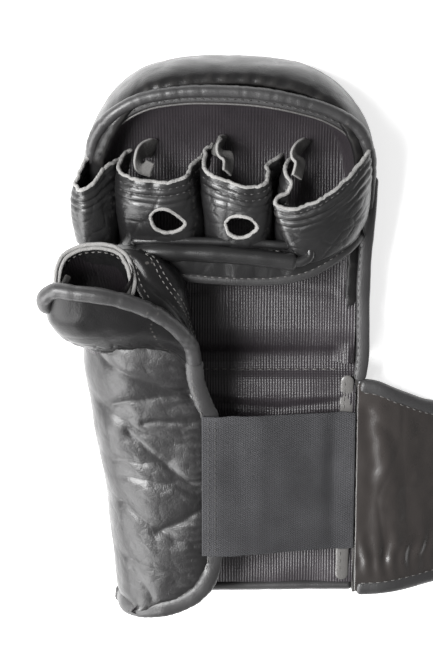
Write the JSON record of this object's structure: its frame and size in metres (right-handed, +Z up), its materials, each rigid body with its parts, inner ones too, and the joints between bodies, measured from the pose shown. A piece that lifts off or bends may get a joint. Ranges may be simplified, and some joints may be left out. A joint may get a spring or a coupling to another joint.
{
  "type": "mma glove",
  "caption": "Open-palm leather sparring glove with padded back, finger loops, thumb sleeve, wrist elastic and hook-and-loop strap.",
  "frame": {"origin": "on the surface the glove lies on, under the middle of the palm", "axes": "+X from the thumb side to the little-finger side and along the open strap, +Y towards the fingertips, +Z up out of the palm"},
  "size_m": [0.3719, 0.2536, 0.0795],
  "materials": {
    "black_leather": "smooth glossy top grain",
    "creased_leather": "glossy, with soft diagonal creases",
    "thin_leather": "thin, with raw light grey cut edges",
    "leather_binding": "satin folded binding and piping",
    "padding_foam": "closed cell foam, sealed inside",
    "ribbed_lining": "fine ribbed warp knit with a slight sheen",
    "core_webbing": "flat webbing, sealed inside",
    "woven_elastic": "woven elastic, matt",
    "hook_fabric": "hook half of hook-and-loop tape",
    "loop_fabric": "loop half of hook-and-loop tape",
    "sewing_thread": "bonded thread"
  },
  "bodies": {
    "cuff": {"cuff_foam": "padding_foam", "cuff_leather": "black_leather", "cuff_lining": "ribbed_lining", "cuff_binding": "leather_binding", "inner_facing": "leather_binding", "loop_patch": "loop_fabric", "flex_seam_thread": "sewing_thread", "panel_leather": "creased_leather", "panel_foam": "padding_foam", "panel_lining": "ribbed_lining", "panel_binding": "leather_binding", "wrist_elastic": "woven_elastic", "elastic_thread": "sewing_thread"},
    "hand": {"knuckle_foam": "padding_foam", "knuckle_leather": "black_leather", "hand_lining": "ribbed_lining", "knuckle_piping": "leather_binding", "side_binding": "leather_binding", "index_loop": "thin_leather", "middle_loop": "thin_leather", "ring_loop": "thin_leather", "pinky_loop": "thin_leather", "loop_tab_1": "thin_leather", "loop_tab_2": "thin_leather", "loop_tab_3": "thin_leather", "palm_band": "black_leather", "palm_binding": "leather_binding", "grip_bar_foam": "padding_foam", "grip_bar_leather": "black_leather"},
    "thumb": {"thumb_foam": "padding_foam", "thumb_leather": "black_leather", "thumb_lining": "ribbed_lining", "thumb_loop": "thin_leather", "thumb_piping": "leather_binding", "thumb_gusset": "black_leather"},
    "strap_base": {"strap_base_back": "black_leather", "strap_base_core": "core_webbing", "strap_base_face": "black_leather", "strap_base_binding": "leather_binding"},
    "strap_tip": {"strap_tip_back": "black_leather", "strap_tip_core": "core_webbing", "strap_tip_face": "black_leather", "strap_tip_binding": "leather_binding", "hook_tape": "hook_fabric", "hook_tape_thread": "sewing_thread"}
  },
  "joints": [
    {"name": "knuckle_flex", "type": "hinge", "parent": "cuff", "child": "hand", "pos_m": [0, -0.012, 0.014], "axis": [1, 0, 0], "range_deg": [0, 12], "stiffness_Nm_per_rad": 0.3},
    {"name": "thumb_flex", "type": "hinge", "parent": "hand", "child": "thumb", "pos_m": [-0.0547, 0.002, 0.03], "axis": [1, 0, 0], "range_deg": [0, 20], "stiffness_Nm_per_rad": 0.05},
    {"name": "strap_fold", "type": "hinge", "parent": "cuff", "child": "strap_base", "pos_m": [0.0584, -0.071, 0.0198], "axis": [0, -1, 0], "range_deg": [0, 165]},
    {"name": "strap_wrap", "type": "hinge", "parent": "strap_base", "child": "strap_tip", "pos_m": [0.2024, -0.0765, 0.0062], "axis": [0, -1, 0], "range_deg": [0, 60]}
  ]
}
